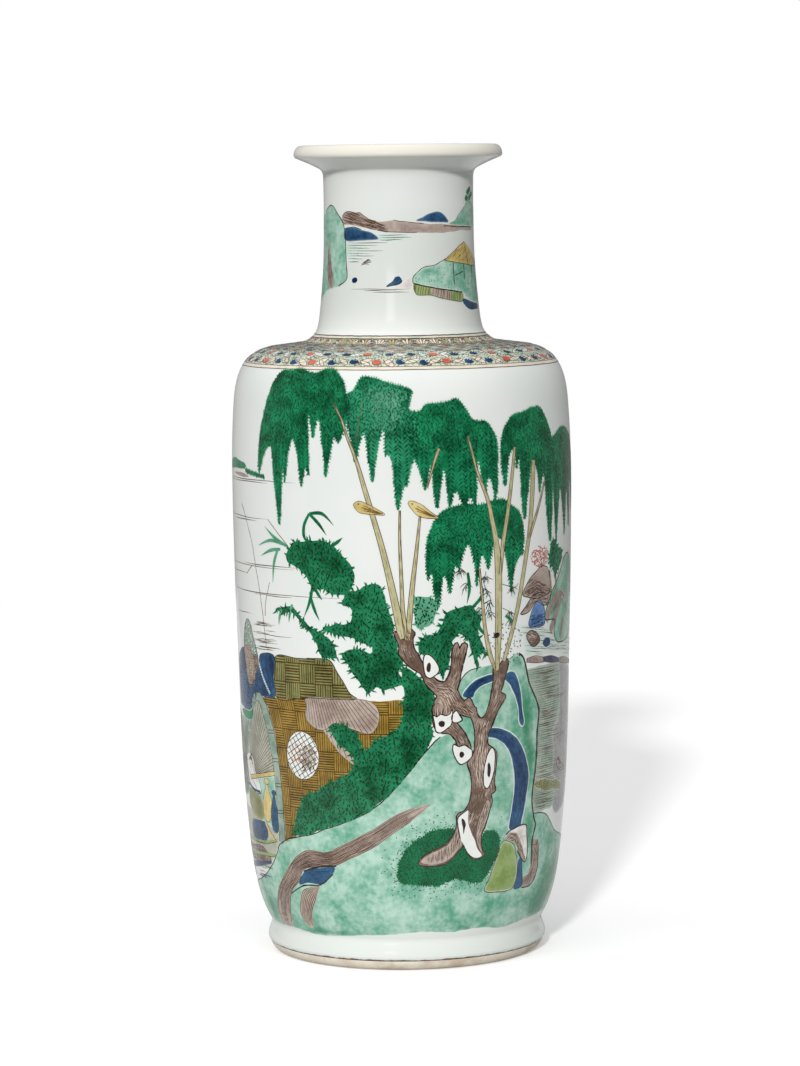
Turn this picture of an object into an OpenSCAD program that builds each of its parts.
// Rouleau vase: a porcelain club vase thrown in sections that are luted together
// with slip, then glazed inside and out, with an enamel border on its shoulder.
// Millimetres, +Z up, origin at the centre of the foot face that it stands on.

/* [Foot] */
// Outer radius of the flat face that the vase stands on
foot_r = 71.5; // [60:0.5:88]
// Width of that flat face
foot_face_w = 6; // [4:0.5:12]
// How far the bare rounded edge stands out past the face
edge_out = 6.6; // [4:0.1:9]
// Height of the bare rounded edge, where the glaze begins
edge_h = 5.6; // [3:0.1:8]
// How far the rolled foot stands out past the bare edge
foot_roll_out = 1.1; // [0.5:0.1:3]
// Height of the rolled foot above the bare edge
foot_roll_h = 2.8; // [2:0.1:6]
// Depth of the groove between the rolled foot and the body
waist_in = 2; // [1:0.1:3.5]
// Height of the lower lip of that groove
waist_z = 15.6; // [13:0.1:20]
// Height of the groove itself
waist_h = 2.8; // [1.5:0.1:5]
// How far the groove's upper lip stands out past its lower one
waist_out = 0.4; // [0:0.1:1.5]
// Depth of the recess under the base
recess_h = 9; // [5:0.5:12]
// Height of the bare clay inside the foot
dry_h = 3; // [1.5:0.5:5]
// Radius of the rounding inside the recess
recess_fillet = 3; // [1:0.5:5]

/* [Body] */
// Height from the groove to the flat of the shoulder
body_h = 326.6; // [260:0.1:400]
// Radius at the widest place
body_r = 96; // [84:0.5:116]
// How much narrower the body is at its middle seam
taper_mid = 1.6; // [0.5:0.1:4]
// How much narrower the body is at the belly
taper_belly = 7.6; // [4:0.1:12]
// How much narrower the body is at the base seam
taper_base = 11.6; // [8:0.1:14]
// Height of the base seam above the groove
base_seam_h = 17.6; // [16:0.1:26]
// Height of the belly above the groove
belly_h = 42; // [36:0.5:60]
// Height of the middle seam above the groove
body_seam_h = 158; // [120:1:200]
// Distance of the widest place below the shoulder
widest_drop = 72; // [60:0.5:95]

/* [Shoulder] */
// Distance of the shoulder seam below the shoulder
shoulder_seam_drop = 35; // [28:0.5:45]
// How much narrower the body is at the shoulder seam
shoulder_seam_in = 1.3; // [0.5:0.1:3]
// Distance of the border's outer edge below the shoulder
band_drop = 12.6; // [10:0.1:15]
// How much narrower the shoulder is at the border's outer edge
band_in = 6.6; // [5:0.1:9]
// Distance of the shoulder's crest below its flat
crest_drop = 2.2; // [1:0.1:3]
// How much narrower the shoulder is at its crest
crest_in = 23.4; // [20:0.1:30]

/* [Neck] */
// Height from the shoulder to the seam under the mouth
neck_h = 88; // [70:0.5:115]
// Radius of the neck at its slimmest
neck_r = 42.4; // [36:0.1:50]
// How much the neck spreads at its root
root_out = 6.1; // [5:0.1:9]
// Height of the border's inner edge above the shoulder
root_h = 4.5; // [3:0.1:6]
// Width of the fillet between shoulder and neck
root_fillet = 7.2; // [5:0.1:9]
// How much the neck spreads at its seam
neck_seam_out = 4.2; // [2.5:0.1:6]
// Height of the neck seam above the shoulder
neck_seam_h = 8.6; // [7:0.1:12]
// How much the neck spreads above its seam
sweep_out = 2.5; // [1:0.1:4]
// Height of that spread above the shoulder
sweep_h = 20; // [15:0.5:30]
// Distance of the slimmest place below the mouth seam
slim_drop = 22; // [12:0.5:40]

/* [Mouth] */
// Height of the mouth above its seam
mouth_h = 22; // [18:0.5:28]
// Outer radius of the lip
mouth_r = 58.9; // [52:0.1:70]
// Height of the lip's edge
lip_h = 5.5; // [4:0.1:8]
// Width of the lip's rounded top
lip_w = 4.3; // [3:0.1:6]
// Height of the flange between the neck and the lip
flange_h = 6; // [4:0.1:9]
// How far the flange stops short of the lip's outer edge
flange_in = 1.3; // [0.8:0.1:2]
// Radius of the fillet between neck and flange
flange_fillet = 2; // [1:0.1:4]
// Depth of the dished mouth below the lip
dish_h = 12; // [9:0.5:16]
// How far the dish's gentle slope reaches outside the neck
dish_out = 4.5; // [2:0.1:7]
// How far the gentle slope of the dish falls
dish_fall = 2; // [1:0.1:4]
// How far the throat spreads at the bottom of the dish
throat_out = 1.6; // [0.5:0.1:3]

/* [Walls and coats] */
// Thickness of the floor
floor_t = 11; // [7:0.5:16]
// Width of the rounding between floor and wall
floor_fillet = 17; // [10:0.5:24]
// Thickness of the wall of the lower body
body_wall = 8.5; // [5:0.1:11]
// Thickness of the wall of the shoulder
shoulder_wall = 7.5; // [5:0.1:10]
// Thickness of the wall of the neck
neck_wall = 6.5; // [4:0.1:9]
// Thickness of the glaze
glaze_t = 0.4; // [0.2:0.05:0.8]
// Thickness of the slip in a seam
seam_t = 0.8; // [0.4:0.1:1.5]
// Thickness of the enamel border
enamel_t = 0.2; // [0.1:0.05:0.4]

/* [Hidden] */
$fn = 180;
// Degrees of turn, and millimetres, that one straight facet of the outline may cover
turn_step = 6;
length_step = 16;

// Heights that the sections share
groove_z = waist_z + waist_h;
shoulder_z = groove_z + body_h;
mouth_seam_z = shoulder_z + neck_h;
lip_z = mouth_seam_z + mouth_h;
flange_z = lip_z - lip_h - flange_h - lip_w / 2;
floor_z = recess_h + floor_t;
recess_r = foot_r - foot_face_w - glaze_t;
roll_r = foot_r + edge_out + foot_roll_out;

// The outline is a chain of stations [radius, height, heading, wall]. The heading is the
// way the outline runs, in degrees from straight up, with outwards positive.
function heading(a) = [sin(a), cos(a)];
function place(s) = [s[0], s[1]];

// A station moved along its heading, one moved into the clay by a depth, and one given a new heading
function along(s, d) = [s[0] + d * sin(s[2]), s[1] + d * cos(s[2]), s[2], s[3]];
function inset(s, d) = [s[0] - d * cos(s[2]), s[1] + d * sin(s[2]), s[2], s[3]];
function turned(s, a) = [s[0], s[1], a, s[3]];
function sunk(stations, d) = [for (s = stations) inset(s, d)];

// The station on the inside of the wall, where the outline runs back down
function inside(s) = let (p = inset(s, s[3])) [p[0], p[1], s[2] - 180, s[3]];
function reversed(list) = [for (i = [len(list) - 1:-1:0]) list[i]];
function insides(stations) = [for (s = reversed(stations)) inside(s)];

// A smooth curve through the stations that keeps each one's heading
function facets(p, q) =
    ceil(abs(q[2] - p[2]) / turn_step) + ceil(norm(place(q) - place(p)) / length_step);
function blend(p, q, t) =
    let (run = norm(place(q) - place(p)))
    (2 * t ^ 3 - 3 * t ^ 2 + 1) * place(p) + (t ^ 3 - 2 * t ^ 2 + t) * run * heading(p[2])
    + (3 * t ^ 2 - 2 * t ^ 3) * place(q) + (t ^ 3 - t ^ 2) * run * heading(q[2]);
function span(p, q) = let (n = facets(p, q)) [for (i = [0:n - 1]) blend(p, q, i / n)];
function curve(stations) = concat(
    [for (i = [0:len(stations) - 2]) each span(stations[i], stations[i + 1])],
    [place(stations[len(stations) - 1])]
);

// Both sides of a seam of slip across the wall at a station
function seam(s) = [along(s, -seam_t / 2), along(s, seam_t / 2)];

base_joint = seam([body_r - taper_base, groove_z + base_seam_h, 14.5, body_wall]);
body_joint = seam([body_r - taper_mid, groove_z + body_seam_h, 1.6, body_wall]);
shoulder_joint = seam([
    body_r - shoulder_seam_in, shoulder_z - shoulder_seam_drop, -4, shoulder_wall
]);
neck_joint = seam([neck_r + neck_seam_out, shoulder_z + neck_seam_h, -15, neck_wall]);
mouth_joint = seam([neck_r, mouth_seam_z, 1.5, neck_wall]);

foot_run = [
    [foot_r + edge_out, edge_h, 35, body_wall],
    [roll_r, edge_h + foot_roll_h, 0, body_wall],
    [roll_r - waist_in, waist_z, -15, body_wall],
    [roll_r - waist_in + waist_out, groove_z, 30, body_wall]
];
foot_edge = [[foot_r, 0, 90, body_wall], turned(inset(foot_run[0], glaze_t), 10)];
belly_run = [[body_r - taper_belly, groove_z + belly_h, 6.6, body_wall]];
widest_run = [[body_r, shoulder_z - widest_drop, 0, body_wall]];
border_run = [
    [body_r - band_in, shoulder_z - band_drop, -30, shoulder_wall],
    [body_r - crest_in, shoulder_z - crest_drop, -83, shoulder_wall],
    [neck_r + root_out + root_fillet, shoulder_z, -82, shoulder_wall],
    [neck_r + root_out, shoulder_z + root_h, -35, shoulder_wall]
];
sweep_run = [
    [neck_r + sweep_out, shoulder_z + sweep_h, -7, neck_wall],
    [neck_r, mouth_seam_z - slim_drop, 0, neck_wall]
];
lip_run = [
    [neck_r + flange_fillet, flange_z, 60, neck_wall],
    [mouth_r - flange_in, flange_z + flange_h, 67, neck_wall],
    [mouth_r, lip_z - lip_h, 0, neck_wall],
    [mouth_r - 0.3 * lip_w, lip_z - 0.4 * lip_w, -36, neck_wall],
    [mouth_r - lip_w, lip_z, -90, neck_wall]
];
dish_run = [
    [neck_r + dish_out, lip_z - dish_fall, -110, neck_wall],
    [neck_r - neck_wall + throat_out, lip_z - dish_h, -166, neck_wall]
];
floor_run = [[roll_r - floor_fillet, floor_z, -90, body_wall], [0, floor_z, -90, body_wall]];
recess_run = [
    [0, recess_h, 90, body_wall],
    [recess_r - recess_fillet, recess_h, 90, body_wall],
    [recess_r, recess_h - recess_fillet, 180, body_wall],
    [recess_r, dry_h, 180, body_wall]
];

// The stations of each section's outer face, from its lower seam to its upper one
base_outer = concat(foot_run, [base_joint[0]]);
lower_outer = concat([base_joint[1]], belly_run, [body_joint[0]]);
upper_outer = concat([body_joint[1]], widest_run, [shoulder_joint[0]]);
shoulder_outer = concat([shoulder_joint[1]], border_run, [neck_joint[0]]);
neck_outer = concat([neck_joint[1]], sweep_run, [mouth_joint[0]]);

// The glazed face of the outside, and of the inside from the lip down to the floor
outer_face = concat(
    base_outer, lower_outer, upper_outer, shoulder_outer, neck_outer, [mouth_joint[1]], lip_run
);
inner_face = concat(
    [lip_run[len(lip_run) - 1]], dish_run, [inside(mouth_joint[1])],
    insides(neck_outer), insides(shoulder_outer), insides(upper_outer), insides(lower_outer),
    [inside(base_joint[0])], floor_run
);

// A ring of clay between its outer stations and the wall's inside, under the glaze
module clay_ring(stations) {
    color("ivory") rotate_extrude()
        polygon(concat(curve(sunk(stations, glaze_t)), curve(sunk(insides(stations), glaze_t))));
}

// A skin of even thickness on the outside of a run of stations, or sunk into it
module skin(stations, from, to, tint) {
    color(tint) rotate_extrude()
        polygon(concat(curve(sunk(stations, from)), reversed(curve(sunk(stations, to)))));
}

module slip(stations) {
    color("wheat") rotate_extrude()
        polygon(concat(
            [for (s = sunk(stations, glaze_t)) place(s)],
            [for (s = sunk(insides(stations), glaze_t)) place(s)]
        ));
}

// The turned base: foot ring, floor and the stub of wall that the lower body stands on
module base_section() {
    color("linen") rotate_extrude()
        polygon(concat(
            span(foot_edge[0], foot_edge[1]),
            curve(sunk(base_outer, glaze_t)),
            curve(sunk(concat([inside(base_joint[0])], floor_run), glaze_t)),
            curve(sunk(recess_run, glaze_t)),
            [[foot_r - foot_face_w, 0]]
        ));
}

module lower_body() { clay_ring(lower_outer); }
module upper_body() { clay_ring(upper_outer); }
module shoulder() { clay_ring(shoulder_outer); }
module neck() { clay_ring(neck_outer); }

// The flanged mouth: its lip, its dished top and the throat down to the seam
module mouth_rim() {
    color("ivory") rotate_extrude()
        polygon(curve(sunk(
            concat([mouth_joint[1]], lip_run, dish_run, [inside(mouth_joint[1])]), glaze_t
        )));
}

module base_seam() { slip(base_joint); }
module body_seam() { slip(body_joint); }
module shoulder_seam() { slip(shoulder_joint); }
module neck_seam() { slip(neck_joint); }
module mouth_seam() { slip(mouth_joint); }

module outer_glaze() { skin(outer_face, 0, glaze_t, "white"); }
module inner_glaze() { skin(inner_face, 0, glaze_t, "white"); }
module base_glaze() { skin(recess_run, 0, glaze_t, "white"); }

// The band of enamel between the two lines that edge the shoulder
module shoulder_border() { skin(border_run, -enamel_t, 0, "mediumseagreen"); }

base_section();
lower_body();
upper_body();
shoulder();
neck();
mouth_rim();
base_seam();
body_seam();
shoulder_seam();
neck_seam();
mouth_seam();
outer_glaze();
inner_glaze();
base_glaze();
shoulder_border();
